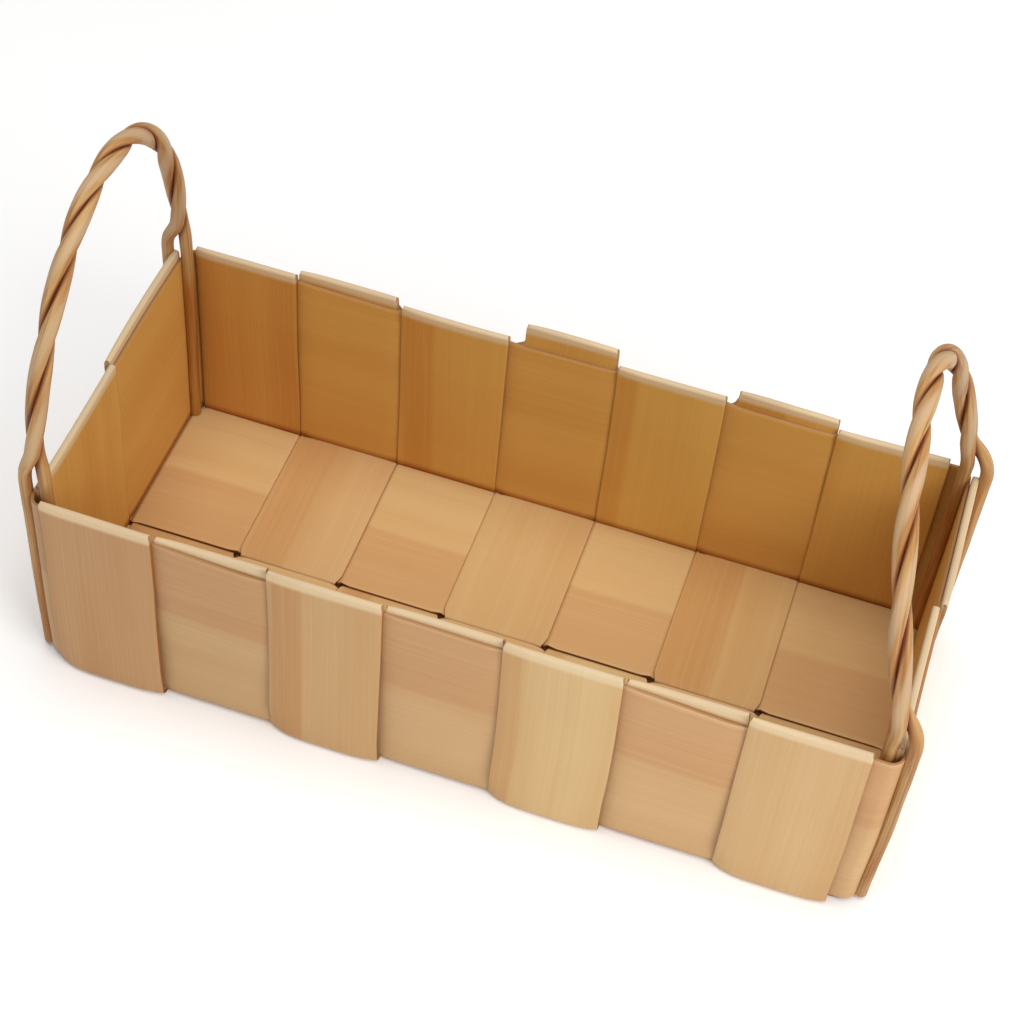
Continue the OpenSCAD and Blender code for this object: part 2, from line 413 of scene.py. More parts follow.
def pine(name, width, pale, warm, heart=None, outside_only=False):
    """Bare split pine: soft zones of tone along the splint, fine fibres, and one broad streak of heartwood.

    heart holds the streak's tone, the place of its middle across the splint, its half width and its strength,
    and outside_only keeps it off the walls' inner skins.
    """
    material, board = new_material(name)
    along, across, start = board.parts(board.mark("grain", "Vector"))
    drift_spot = board.vector(along * DRIFT_SCALE[0], across * DRIFT_SCALE[1], start)
    drift = board.noise(drift_spot, detail=1.0) - 0.5

    def streaks(along_scale, across_scale, detail):
        bent = across + drift * STREAK_DRIFT
        spot = board.vector(along * along_scale, bent * across_scale, start)
        return board.noise(spot, detail=detail, roughness=STREAK_ROUGHNESS)

    fibre = streaks(*FIBRE_STREAKS)
    lines = streaks(*LINE_STREAKS)
    zones = streaks(*ZONE_STREAKS)
    cloud = streaks(*CLOUD_STREAKS)
    below_top = board.mark("below_top")
    inside, outside, base, foot, right = skin_sides(board, below_top)

    colour = board.mix(board.step(zones, *ZONE_LEVELS), pale, warm)
    if heart:
        tone, middle, half, share = heart
        off_middle = (across + drift * HEART_DRIFT - middle * MM).size()
        streak = 1 - board.step(off_middle, half * MM - HEART_EDGE, half * MM + HEART_EDGE)
        if outside_only:
            streak = streak * (1 - inside)
        colour = board.mix(streak * (share * HEART_EVEN + lines * (share * HEART_LINES)), colour, tone)
    colour = board.mix(board.step(lines, *LINE_LEVELS) * LINE_SHARE, colour, DEEP)
    colour = board.mix(board.step(fibre, *FIBRE_LEVELS) * FIBRE_SHARE, colour, SHEEN)
    colour = board.mix(board.step(cloud, *CLOUD_LEVELS) * CLOUD_SHARE, colour, DEEP)

    # The rim and crest of a fold: wear with a painted highlight
    rim = 1 - board.step(below_top, *RIM_DEPTH)
    crest = 1 - board.step(below_top, *CREST_DEPTH)
    colour = board.mix(rim * RIM_SHARE, colour, board.mix(crest, RIM_WEAR_AND_HIGHLIGHT, CREST_WEAR_AND_HIGHLIGHT))
    # Inner skins: more orange wood, with painted shade and warm bounce light
    colour = board.mix(inside, colour, INSIDE_TONE_AND_SHADE, "MULTIPLY")
    # Painted light on the outer skins, growing from the left to the right
    colour = board.mix(outside, colour, board.mix(right, OUTSIDE_LEFT_SHADE, OUTSIDE_TONE), "MULTIPLY")
    # Painted shade on the base's upper skin
    colour = board.mix(base, colour, BASE_SHADE, "MULTIPLY")
    colour = board.mix(foot, colour, FOOT_SHADE, "MULTIPLY")
    # Painted shade on the cut edges, in the gaps between splints
    cut = board.step(across.size(), *((width / 2 - depth) * MM for depth in CUT_DEPTH))
    colour = board.mix(cut * CUT_SHARE, colour, CUT_EDGE_SHADE, "MULTIPLY")
    colour = board.mix(slot_depth(board), colour, SLOT_SHADE, "MULTIPLY")

    rough = PINE_ROUGH - FIBRE_SHINE * board.step(fibre, *SHINE_LEVELS) + CLOUD_DULL * cloud
    relief = {**PINE_RELIEF, "Height": fibre * 0.5 + lines * 0.5}
    board.finish(colour, rough, PINE_SPECULAR, board.add("ShaderNodeBump", None, relief, "Normal"))
    return material


def willow(name):
    """Peeled willow: fine lengthwise ridges, darker between, painted brown shade down in the twist, a painted
    sheen on the outer sides, with a few knots.
    """
    material, board = new_material(name)
    ring_x, ring_y, along = board.parts(board.mark("grain", "Vector"))
    start = board.mark("start")

    def blotches(round_scale, along_scale, detail, roughness, shift_x=start, shift_y=0.0):
        x = ring_x * round_scale + shift_x
        y = ring_y * round_scale + shift_y
        return board.noise(board.vector(x, y, along * along_scale), detail=detail, roughness=roughness)

    ridges = blotches(*RIDGES)
    mottle = blotches(*MOTTLE)
    knots = blotches(*KNOTS, shift_x=0.0, shift_y=start)
    colour = board.mix(board.step(mottle, *MOTTLE_LEVELS), WILLOW_PALE, WILLOW_WARM)
    colour = board.mix(board.step(FURROW_TOP - ridges, *FURROW_LEVELS) * FURROW_SHARE, colour, WILLOW_DARK)
    colour = board.mix(board.step(knots, *KNOT_LEVELS) * KNOT_SHARE, colour, KNOT)

    groove = board.mark("groove")
    # Painted sheen away from the other rod, painted shade towards it
    crest = board.step(groove * -1, *CREST_LEVELS)
    colour = board.mix(crest * (CREST_SHARE + mottle * CREST_MOTTLE), colour, ROD_CREST_SHEEN)
    colour = board.mix(board.step(groove, *GROOVE_LEVELS), colour, GROOVE_SHADE, "MULTIPLY")
    px, _, pz = board.parts(board.place())
    # Painted shade on the legs below the rim
    leg = 1 - board.step(pz, *LEG_SHADE_HEIGHT)
    outdoors = board.step(px.size(), *OUTDOORS)
    colour = board.mix(leg, colour, board.mix(outdoors, INNER_LEG_SHADE, OUTER_LEG_SHADE), "MULTIPLY")

    rough = WILLOW_ROUGH + RIDGE_DULL * board.step(ridges, *RIDGE_LEVELS)
    relief = {**WILLOW_RELIEF, "Height": ridges + mottle * MOTTLE_RELIEF}
    board.finish(colour, rough, WILLOW_SPECULAR, board.add("ShaderNodeBump", None, relief, "Normal"))
    return material


# Trees for the two kinds of piece
def new_tree(name, inputs):
    """A tree with these inputs, its board, and the inputs' sockets by name."""
    tree = bpy.data.node_groups.new(name, "GeometryNodeTree")
    tree.interface.new_socket("Geometry", in_out="INPUT", socket_type="NodeSocketGeometry")
    for label, kind in inputs.items():
        tree.interface.new_socket(label, in_out="INPUT", socket_type="NodeSocket" + kind)
    tree.interface.new_socket("Geometry", in_out="OUTPUT", socket_type="NodeSocketGeometry")
    board = Board(tree)
    start = board.add("NodeGroupInput").socket.node
    return tree, board, {s.name: Wire(board, s) for s in start.outputs if s.name}


def named(board, name, kind="FLOAT"):
    return board.add("GeometryNodeInputNamedAttribute", {"data_type": kind}, {"Name": name}, "Attribute")


def store(board, shape, name, kind, value):
    return board.add(
        "GeometryNodeStoreNamedAttribute",
        {"data_type": kind, "domain": "POINT"},
        {"Geometry": shape, "Name": name, "Value": value},
    )


def shift(board, shape, offset):
    return board.add("GeometryNodeSetPosition", None, {"Geometry": shape, "Offset": offset})


def swayed(board, shape, sway):
    """Slow unevenness, the same for every piece, so that pieces that touch stay together.

    It fades out towards the floor.
    """
    place = board.add("GeometryNodeInputPosition")
    noise = board.noise(place, SWAY_SCALE, detail=1.0, roughness=0.4, out="Color")
    wave = board.vector_math("SUBTRACT", noise, (0.5, 0.5, 0.5))
    height = board.parts(place)[2]
    return shift(board, shape, board.scaled(wave, sway * board.step(height, *metres(SWAY_HEIGHT))))


def close_tree(board, shape, material):
    """Smooth shading, real instances and the material end a tree."""
    smooth = board.add("GeometryNodeSetShadeSmooth", None, {"Geometry": shape})
    real = board.add("GeometryNodeRealizeInstances", None, {"Geometry": smooth})
    dressed = board.add("GeometryNodeSetMaterial", None, {"Geometry": real, "Material": material})
    board.add("NodeGroupOutput", None, {"Geometry": dressed})


def splint_tree():
    """A flat strip along a path of edges: the path's marks shape its two long edges."""
    tree, board, given = new_tree(
        "splint",
        {
            "Width": "Float",
            "Across": "Vector",
            "Strands": "Int",
            "Sway": "Float",
            "Start": "Float",
            "Material": "Material",
        },
    )
    path = given["Geometry"]
    points = board.add("GeometryNodeAttributeDomainSize", None, {"Geometry": path}, "Point Count")
    sheet = board.add(
        "GeometryNodeMeshGrid",
        None,
        {"Size X": 1.0, "Size Y": 1.0, "Vertices X": points, "Vertices Y": given["Strands"]},
        "Mesh",
    )
    u, v, _ = board.parts(board.add("GeometryNodeInputPosition"))
    station = ((u + 0.5) * (points - 1)).rounded()

    def of_path(value, kind):
        return board.add(
            "GeometryNodeSampleIndex",
            {"data_type": kind, "domain": "POINT"},
            {"Geometry": path, "Value": value, "Index": station},
        )

    def mark(name, kind="FLOAT"):
        return of_path(named(board, name, kind), kind)

    across = v * given["Width"]
    edges = mark("low_edge") * (0.5 - v) + mark("high_edge") * (0.5 + v)
    place = of_path(board.add("GeometryNodeInputPosition"), "FLOAT_VECTOR")
    moved = board.vector_math("ADD", place, board.scaled(given["Across"], across + edges))
    moved = board.vector_math("ADD", moved, board.vector(0.0, 0.0, mark("lift") * v))
    for press, side in (("low_press", v * -2), ("high_press", v * 2)):
        share = side.at_least(0.0) ** PRESS_POWER
        moved = board.vector_math("ADD", moved, board.scaled(mark(press, "FLOAT_VECTOR"), share))
    grain = board.vector(mark("along"), across, given["Start"])
    sheet = store(board, sheet, "grain", "FLOAT_VECTOR", grain)
    sheet = store(board, sheet, "below_top", "FLOAT", mark("top") - board.parts(moved)[2])
    sheet = board.add("GeometryNodeSetPosition", None, {"Geometry": sheet, "Position": moved})
    close_tree(board, swayed(board, sheet, given["Sway"]), given["Material"])
    return tree


def rod_tree():
    """A rod along a path of edges: the mark girth thins it, and mate, towards the other rod, flattens it."""
    tree, board, given = new_tree(
        "willow_rod",
        {
            "Radius": "Float",
            "Sides": "Int",
            "Flatten": "Float",
            "Spread": "Float",
            "Nestle": "Float",
            "Knobble": "Float",
            "Sway": "Float",
            "Start": "Float",
            "Material": "Material",
        },
    )
    radius = given["Radius"]
    line = board.add("GeometryNodeMeshToCurve", None, {"Mesh": given["Geometry"]})
    line = board.add("GeometryNodeSetCurveRadius", None, {"Curve": line, "Radius": named(board, "girth")})
    line = store(board, line, "middle", "FLOAT_VECTOR", board.add("GeometryNodeInputPosition"))
    ring_size = {"Resolution": given["Sides"], "Radius": radius}
    ring = board.add("GeometryNodeCurvePrimitiveCircle", None, ring_size, "Curve")
    ring_place = board.add("GeometryNodeInputPosition")
    spot = board.vector_math("DIVIDE", ring_place, board.vector(radius, radius, 1.0))
    ring = store(board, ring, "spot", "FLOAT_VECTOR", spot)
    swept = {"Curve": line, "Profile Curve": ring, "Fill Caps": True}
    rod = board.add("GeometryNodeCurveToMesh", None, swept)
    x, y, _ = board.parts(named(board, "spot", "FLOAT_VECTOR"))
    along = named(board, "along")
    rod = store(board, rod, "grain", "FLOAT_VECTOR", board.vector(x, y, along))
    rod = store(board, rod, "start", "FLOAT", given["Start"])

    mate = named(board, "mate", "FLOAT_VECTOR")
    share = board.add("ShaderNodeVectorMath", {"operation": "LENGTH"}, {0: mate}, "Value")
    middle = named(board, "middle", "FLOAT_VECTOR")
    out = board.vector_math("SUBTRACT", board.add("GeometryNodeInputPosition"), middle)
    facing = board.add("ShaderNodeVectorMath", {"operation": "DOT_PRODUCT"}, {0: out, 1: mate}, "Value")
    rod = store(board, rod, "groove", "FLOAT", facing / radius)
    squeeze = given["Nestle"] - facing * given["Spread"] - facing.at_least(0.0) * given["Flatten"]
    widened = board.scaled(out, given["Spread"] * share)
    rod = shift(board, rod, board.vector_math("ADD", widened, board.scaled(mate, squeeze)))

    round_scale, along_scale, detail, roughness = LUMPS
    lump_spot = board.vector(x * round_scale + given["Start"], y * round_scale, along * along_scale)
    lump = board.noise(lump_spot, detail=detail, roughness=roughness) - 0.5
    rod = shift(board, rod, board.scaled(board.add("GeometryNodeInputNormal"), lump * given["Knobble"]))
    close_tree(board, swayed(board, rod, given["Sway"]), given["Material"])
    return tree


# Paths of the weave
def eased(x):
    """From 0 to 1 with soft ends."""
    x = max(0.0, min(1.0, x))
    return x * x * (3 - 2 * x)


def corner_arc(before, corner, after, radius, steps=8):
    """Points of the arc that rounds a corner of a path."""
    u = (before - corner).normalized()
    v = (after - corner).normalized()
    half = math.acos(u.dot(v)) / 2
    middle = corner + (u + v).normalized() * radius / math.sin(half)
    first = corner + u * radius / math.tan(half) - middle
    last = corner + v * radius / math.tan(half) - middle
    sweep = math.atan2(last.y, last.x) - math.atan2(first.y, first.x)
    sweep -= 2 * math.pi * round(sweep / (2 * math.pi))
    return [middle + Matrix.Rotation(sweep * k / steps, 2) @ first for k in range(steps + 1)]


def round_path(points):
    """A path through points given as x, y and the radius of the bend there."""
    spots = [Vector((x, y)) for x, y, _ in points]
    path = [spots[0]]
    for k in range(1, len(points) - 1):
        path += corner_arc(spots[k - 1], spots[k], spots[k + 1], points[k][2])
    return path + [spots[-1]]


def closely(path, gap=4.0):
    """The path with its long straights divided."""
    out = [path[0]]
    for a, b in zip(path, path[1:]):
        count = max(1, math.ceil((b - a).length / gap))
        out += [a.lerp(b, k / count) for k in range(1, count + 1)]
    return out


def splint_end(outer, wall, edge, rise, bulge=BULGE, bend_r=END_BEND_R):
    """From the base up one wall, over the fold and down to the tip of the tail."""
    side = 1 if outer else -1
    foot = [(wall - HALF_STEP, UNDER_Z, INNER_BEND_R)]
    if outer:
        foot = [
            (edge + CHANGE_INSET, OVER_Z, EASE_R),
            (edge + CHANGE_INSET + CHANGE_RUN, UNDER_Z, EASE_R),
            (wall + HALF_STEP + bulge, UNDER_Z, bend_r),
        ]
    tail = wall + side * HALF_STEP
    upright = tail + side * 2 * FOLD_R
    top = BAND_TOP + rise - SPLINT_T / 2
    tip = BAND_TOP - TUCK
    fold = [(upright, top, FOLD_CORNER_R), (tail, top, FOLD_CORNER_R), (tail, tip, 0)]
    return foot + [(upright, tip, LEAN_R)] + fold


def level_changes(gaps, starts_over):
    """The gaps in the base where a splint changes from over to under or back."""
    out = []
    for k, gap in enumerate(gaps):
        falls = starts_over == (k % 2 == 0)
        out.append((gap - CHANGE_RUN / 2, OVER_Z if falls else UNDER_Z, EASE_R))
        out.append((gap + CHANGE_RUN / 2, UNDER_Z if falls else OVER_Z, EASE_R))
    return out


def mirrored(points):
    return [(-x, z, r) for x, z, r in reversed(points)]


def cross_x(k):
    """Middle of cross splint k. They are counted from 1 at the left."""
    return (k - (CROSS_COUNT + 1) / 2) * PITCH - CROSS_SHIFT


def cross_path(k):
    """A cross splint from its front tail to its back tail, as y and z."""
    odd = k % 2 == 1

    def end(outer, rise):
        return splint_end(outer, WALL_Y, BASE_LOOK_W / 2, rise, SIDE_BULGE, OUTER_BEND_R)

    front = mirrored(end(odd, FRONT_RISE[k - 1]))
    return round_path(front + level_changes([0], odd) + end(not odd, BACK_RISE[k - 1]))


def long_path(back):
    """A lengthwise splint from its left tail to its right tail, as x and z."""
    end = splint_end(back, WALL_X, BASE_LOOK_L / 2, END_RISE[1 if back else 0])
    gaps = [cross_x(k) + PITCH / 2 for k in range(1, CROSS_COUNT)]
    return round_path(mirrored(end) + level_changes(gaps, back) + end)


def band_offset(outer):
    """The band lies inside an outer upright and outside an inner one."""
    return -HALF_STEP if outer else HALF_STEP


def band_side(way, first, last):
    """The band's changes of side along a long wall, at the joints right of the splints first to last."""
    out = []
    for k in range(first, last + 1):
        gap = cross_x(k) + PITCH / 2
        outer = (k % 2 == 1) == (way < 0)
        out.append((gap - BAND_RUN / 2, way * (WALL_Y + band_offset(outer)), BAND_EASE_R))
        out.append((gap + BAND_RUN / 2, way * (WALL_Y + band_offset(not outer)), BAND_EASE_R))
    return out


def band_end(way):
    """The band's way along a short wall, from the front corner to the back corner."""
    return [
        (way * (WALL_X + HALF_STEP), -(WALL_Y - HALF_STEP), CORNER_R),
        (way * (WALL_X + HALF_STEP), -BAND_RUN / 2, BAND_EASE_R),
        (way * (WALL_X - HALF_STEP), BAND_RUN / 2, BAND_EASE_R),
        (way * (WALL_X - HALF_STEP), WALL_Y + HALF_STEP, CORNER_R),
    ]


def band_path():
    """Once round the walls, to the left from the seam on the back wall, where the two ends lap."""
    seam_x = cross_x(SEAM_SPLINT)
    half = CROSS_W / 2 - SEAM_MARGIN
    lap_x = seam_x + half + LAP_INSET
    return round_path(
        [(seam_x + half, WALL_Y + HALF_STEP, 0)]
        + band_side(1, 1, SEAM_SPLINT - 1)[::-1]
        + band_end(-1)[::-1]
        + band_side(-1, 1, CROSS_COUNT - 1)
        + band_end(1)
        + band_side(1, SEAM_SPLINT, CROSS_COUNT - 1)[::-1]
        + [
            (lap_x + CHANGE_RUN, WALL_Y + HALF_STEP, EASE_R),
            (lap_x, WALL_Y + 3 * HALF_STEP, EASE_R),
            (seam_x - half, WALL_Y + 3 * HALF_STEP, 0),
        ]
    )


# Paths of the handle rods
def clear_share(s):
    """How far the two rods are closed up at share s of the bow: 0 beside the rim, 1 in the twist."""
    return eased((BOW_RISE * math.sin(math.pi * s) - LEG_STRAIGHT) / LEG_CLOSE)


def leg_offset(inner, front, girth):
    """How far out from the middle of the wall a leg of a rod stands."""
    beside = FOLD_REACH if inner == front else BAND_REACH
    return (-1 if inner else 1) * (beside + ROD_CLEARANCE + ROD_R * girth)


def bow_point(s, lean):
    """Middle line of the bow at share s of its sweep, as out from the wall, y and z."""
    rise = BOW_RISE * math.sin(math.pi * s)
    out = -rise * clear_share(s) * math.tan(math.radians(lean))
    return Vector((out, -FOOT_Y * math.cos(math.pi * s), BAND_TOP + rise))


def twist_angle(s):
    """How far the pair has turned at share s of the bow."""
    full = 2 * math.pi * TWIST_TURNS
    even = full * (s - TOP_TIGHTENING * math.sin(2 * math.pi * s) / (2 * math.pi))
    return even * clear_share(s) if s < 0.5 else full - (full - even) * clear_share(s)


def rod_bow_point(inner, s, lean, lay):
    """Middle of one rod at share s of the bow. lay is the hand of the twist."""
    closed = clear_share(s)
    reach = abs(leg_offset(inner, s < 0.5, RIM_GIRTH)) * (1 - closed) + HELIX_R * closed
    angle = lay * twist_angle(s) + (math.pi if inner else 0)
    run = (bow_point(s + TANGENT_STEP, lean) - bow_point(s - TANGENT_STEP, lean)).normalized()
    out = (Vector((1, 0, 0)) - run * run.x).normalized()
    return bow_point(s, lean) + reach * (math.cos(angle) * out + math.sin(angle) * run.cross(out))


def rod_path(side, inner, lean):
    """Points of a rod from foot to foot, its girth there, and the way to the other rod in the twist."""

    def placed(p):
        return Vector((side * (WALL_X + p.x), p.y, p.z))

    def leg(front):
        y = -FOOT_Y if front else FOOT_Y
        out = []
        for k in range(LEG_RINGS):
            h = k / LEG_RINGS
            girth = FOOT_GIRTH + (RIM_GIRTH - FOOT_GIRTH) * eased(h)
            z = LEG_FOOT_Z + (BAND_TOP - LEG_FOOT_Z) * h
            out.append((placed(Vector((leg_offset(inner, front, girth), y, z))), girth, Vector()))
        return out

    bow = []
    for k in range(BOW_RINGS + 1):
        s = k / BOW_RINGS
        point = rod_bow_point(inner, s, lean, side)
        mate = (bow_point(s, lean) - point).normalized() * clear_share(s)
        girth = RIM_GIRTH + (1 - RIM_GIRTH) * clear_share(s)
        bow.append((placed(point), girth, Vector((side * mate.x, mate.y, mate.z))))
    return leg(True) + bow + leg(False)[::-1]


# Making a piece
def wander(along, start):
    """A slow, even drift of a splint's edge, in millimetres."""
    waves = [share * math.sin(along / length + start * turn) for share, length, turn in EDGE_WAVES]
    return EDGE_DRIFT * sum(waves)


def along_path(points):
    """How far along the path each point lies."""
    out = [0.0]
    for a, b in zip(points, points[1:]):
        out.append(out[-1] + (b - a).length)
    return out


def metres(values):
    return [v * MM for v in values]


def make_piece(name, points, marks, tree, inputs, modifiers=()):
    """Lays the path as edges with its marks, runs the tree on it and keeps the plain mesh."""
    mesh = bpy.data.meshes.new(name)
    mesh.from_pydata(metres(points), [(k, k + 1) for k in range(len(points) - 1)], [])
    for mark, values in marks.items():
        if isinstance(values[0], Vector):
            numbers = [c for v in values for c in v]
            mesh.attributes.new(mark, "FLOAT_VECTOR", "POINT").data.foreach_set("vector", numbers)
        else:
            mesh.attributes.new(mark, "FLOAT", "POINT").data.foreach_set("value", values)
    piece = bpy.data.objects.new(name, mesh)
    bpy.context.scene.collection.objects.link(piece)
    weave = piece.modifiers.new("shape", "NODES")
    weave.node_group = tree
    for item in tree.interface.items_tree:
        if item.in_out == "INPUT" and item.name in inputs:
            weave[item.identifier] = inputs[item.name]
    for kind, settings in modifiers:
        extra = piece.modifiers.new(kind.lower(), kind)
        for key, value in settings.items():
            setattr(extra, key, value)
    shaped = piece.evaluated_get(bpy.context.evaluated_depsgraph_get())
    plain = bpy.data.meshes.new_from_object(shaped)
    piece.modifiers.clear()
    piece.data = plain
    bpy.data.meshes.remove(mesh)
    plain.name = name
    return piece


THICKEN = (
    (
        "SOLIDIFY",
        {"thickness": SPLINT_T * MM, "offset": 0.0, "use_even_offset": True, "use_quality_normals": True},
    ),
    (
        "BEVEL",
        {"width": 0.3 * MM, "segments": 2, "limit_method": "ANGLE", "angle_limit": math.radians(55)},
    ),
)
SPLINT_TREE = splint_tree()
ROD_TREE = rod_tree()

# Folded ends: the round of their upper corners, and where they narrow at the band's top
FOLD_ROUND = 2.6
FOLD_ROUND_DEPTH = 0.9
WAIST_START = 3
WAIST_RUN = 4
# How far the two edges of an upright are drawn towards the band, and at which heights
LOW_EDGE_PRESS = 1.6
LOW_FOOT_PRESS = 2.9
LOW_RIM_EASE = 0.6
HIGH_EDGE_PRESS = 0.3
HIGH_FOOT_PRESS = 1.6
FOOT_PRESS_HEIGHT = 22
RIM_PRESS_HEIGHT = 10
INNER_PRESS_START = 3
INNER_PRESS_RUN = 25
TAIL_MARGIN = 5
BULGE_PRESS_START = 4
BULGE_PRESS_RUN = 7
END_PRESS_SHARE = 0.5
# Holes where the slot in the base passes the joints of the cross splints
NOTCH_DEPTH = 1.9
NOTCH_HALF = 2.6
LONG_NOTCH_SHARE = 0.6
# Where the first and the last cross splint stop reaching out to the end walls
FLARE_END = 72
FLARE_RUN = 9
# How far the lengthwise splints draw in where they turn up, where that starts, and how soon their slot closes
FOOT_DRAW = 4.6
FOOT_DRAW_START = 3
FOOT_DRAW_RUN = 5
SLOT_CLOSE_RUN = 2.5
# Every piece has another start in the grain's noise
GRAIN_SHIFT = 3.1
ROD_GRAIN_SHIFT = 1.7
INNER_GRAIN_SHIFT = 4.2


def fold_waist(height, rise, waist):
    """How far an edge of a folded end is drawn in: narrower above the band, with round upper corners."""
    near_top = max(0.0, min(1.0, (height - (BAND_TOP + rise - FOLD_ROUND)) / FOLD_ROUND))
    corner = FOLD_ROUND_DEPTH * FOLD_ROUND * (1 - math.sqrt(1 - near_top * near_top))
    return waist * eased((height - BAND_TOP + WAIST_START) / WAIST_RUN) + corner


def upright_press(place, height, wall, outer):
    """How far an upright's edges are drawn to the band: the low one lies close, the high one stands off."""
    side = 1 if outer else -1
    clear = max(0.0, min(1.0, side * (abs(place) - wall - side * HALF_STEP) / (2 * FOLD_R)))
    foot = 1 - eased(height / FOOT_PRESS_HEIGHT)
    rim = eased((height - BAND_TOP + RIM_PRESS_HEIGHT) / RIM_PRESS_HEIGHT)
    if not outer:
        clear *= eased((height - INNER_PRESS_START) / INNER_PRESS_RUN)
        foot = 0.0
    elif height < BAND_TOP - TUCK - TAIL_MARGIN:
        clear = eased((abs(place) - wall + BULGE_PRESS_START) / BULGE_PRESS_RUN)
    low = clear * (LOW_EDGE_PRESS + LOW_FOOT_PRESS * foot - LOW_RIM_EASE * rim)
    high = clear * (HIGH_EDGE_PRESS + HIGH_FOOT_PRESS * foot)
    return math.copysign(low, -side * place), math.copysign(high, -side * place)


def no_hold(p):
    return Vector(), Vector()


def splint(node, points, width, across, strands, start, material, dips, drops, hold=no_hold, ends=None):
    """Makes a splint in place of its solid.

    dips and drops move its high and its low edge at a point, and hold draws the two edges towards the band.
    ends holds rise, slant, waist of the low edge and waist of the high edge for the two folded ends.
    """
    along = along_path(points)
    low, high, lift, top = [], [], [], []
    low_press, high_press = zip(*(hold(p) for p in points))
    for d, p in zip(along, points):
        low.append(wander(d, start) - drops(p))
        high.append(wander(d, start + HIGH_EDGE_SHIFT) + dips(p))
        lift.append(0.0)
        top.append(BAND_TOP + BAND_EDGE_WEAR_AND_HIGHLIGHT)
        if ends:
            rise, slant, low_waist, high_waist = ends[0 if d < along[-1] / 2 else 1]
            low[-1] += fold_waist(p.z, rise, low_waist)
            high[-1] -= fold_waist(p.z, rise, high_waist)
            lift[-1] = slant * max(0.0, p.z - BAND_TOP)
            top[-1] = BAND_TOP + rise
    marks = {
        "along": along,
        "low_edge": low,
        "high_edge": high,
        "lift": lift,
        "top": top,
        "low_press": low_press,
        "high_press": high_press,
    }
    sizes = {
        "Width": width * MM,
        "Across": across,
        "Strands": strands,
        "Sway": SWAY * MM,
        "Start": start * GRAIN_SHIFT,
        "Material": material,
    }
    marks = {mark: metres(values) for mark, values in marks.items()}
    piece = make_piece(node + "_wood", points, marks, SPLINT_TREE, sizes, THICKEN)
    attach(piece, "root")
    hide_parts(node)
    return piece


# Cross splints
CROSS_STRANDS = 27
CROSS_LOOKS = {
    1: dict(pale=tint(204, 161, 112), warm=tint(195, 148, 98)),
    2: dict(pale=tint(208, 170, 122), warm=tint(200, 156, 104), heart=(HEART, -15, 11, 0.35)),
    3: dict(pale=tint(210, 174, 124), warm=tint(204, 164, 112), heart=(HEART, -18, 8, 0.55)),
    4: dict(pale=tint(212, 178, 128), warm=tint(205, 165, 114)),
    5: dict(pale=tint(216, 186, 134), warm=tint(210, 176, 123), heart=(HEART, -22, 5, 0.4)),
    6: dict(pale=tint(210, 173, 120), warm=tint(203, 160, 104), heart=(HEART, -13, 14, 0.5)),
    7: dict(pale=tint(210, 175, 125), warm=tint(203, 164, 112)),
}
FRONT_SLANT = (0.0, 0.35, -0.1, 0.1, 0.0, 0.35, 0.1)
BACK_SLANT = (0.0, 0.1, -0.1, -0.1, 0.1, -0.1, 0.1)
BACK_WAIST = ((0, 0), (0, 3), (0, 0), (7, 1), (0, 0), (4.5, 0), (0, 0))


def hold_cross(k):
    """An odd cross splint is the outer upright of the front wall and the inner one of the back wall."""

    def hold(p):
        low, high = upright_press(p.y, p.z, WALL_Y, (k % 2 == 1) == (p.y < 0))
        return Vector((0, low, 0)), Vector((0, high, 0))

    return hold


def notch(distance):
    """How an edge draws back round a hole, at that distance from the hole's middle."""
    return -NOTCH_DEPTH * max(0.0, 1 - (distance / NOTCH_HALF) ** 2)


def slot_notch(p):
    """Cross splints leave a small hole where the slot between the lengthwise splints passes their joint."""
    return notch(p.y)


def base_flare(k):
    """On the base the first and the last cross splint reach out to the end walls."""
    edge = abs(cross_x(k)) + CROSS_LOOK_W / 2

    def flare(p):
        return (BASE_LOOK_L / 2 - edge) * (1 - eased((abs(p.y) - FLARE_END) / FLARE_RUN))

    return flare


for k in range(1, CROSS_COUNT + 1):
    points = [Vector((cross_x(k), p.x, p.y)) for p in closely(cross_path(k))]
    piece = splint(
        f"cross_splint_{k}",
        points,
        width=CROSS_LOOK_W,
        across=(1.0, 0.0, 0.0),
        strands=CROSS_STRANDS,
        start=float(k),
        material=pine(f"pine_cross_{k}", CROSS_LOOK_W, **CROSS_LOOKS[k]),
        dips=base_flare(k) if k == CROSS_COUNT else slot_notch,
        drops=base_flare(k) if k == 1 else slot_notch,
        hold=hold_cross(k),
        ends=(
            (FRONT_RISE[k - 1], FRONT_SLANT[k - 1], 0, 0),
            (BACK_RISE[k - 1], BACK_SLANT[k - 1], *BACK_WAIST[k - 1]),
        ),
    )

# Lengthwise splints, the front one first
LONG_STRANDS = 37
LONG_START = 9.0
END_SLANT = (0.1, -0.1)
LONG_LOOKS = {
    False: dict(pale=tint(214, 180, 130), warm=tint(205, 165, 113), heart=(HEART, 14, 18, 0.25)),
    True: dict(pale=tint(216, 182, 132), warm=tint(209, 170, 118), heart=(ROSE, -22, 20, 0.6)),
}


def hold_long(back):
    """The back splint is the outer upright of both short walls, and the front one the inner."""

    def hold(p):
        low, high = upright_press(p.x, p.z, WALL_X, back)
        return Vector((low * END_PRESS_SHARE, 0, 0)), Vector((high * END_PRESS_SHARE, 0, 0))

    return hold


def past_base(p, run):
    """0 on the base, 1 where a lengthwise splint turns up."""
    return eased((abs(p.x) - BASE_LOOK_L / 2 + FOOT_DRAW_START) / run)


def foot_reach(p):
    """The lengthwise splints draw in where they turn up, inside the band's round corners."""
    return -FOOT_DRAW * past_base(p, FOOT_DRAW_RUN)


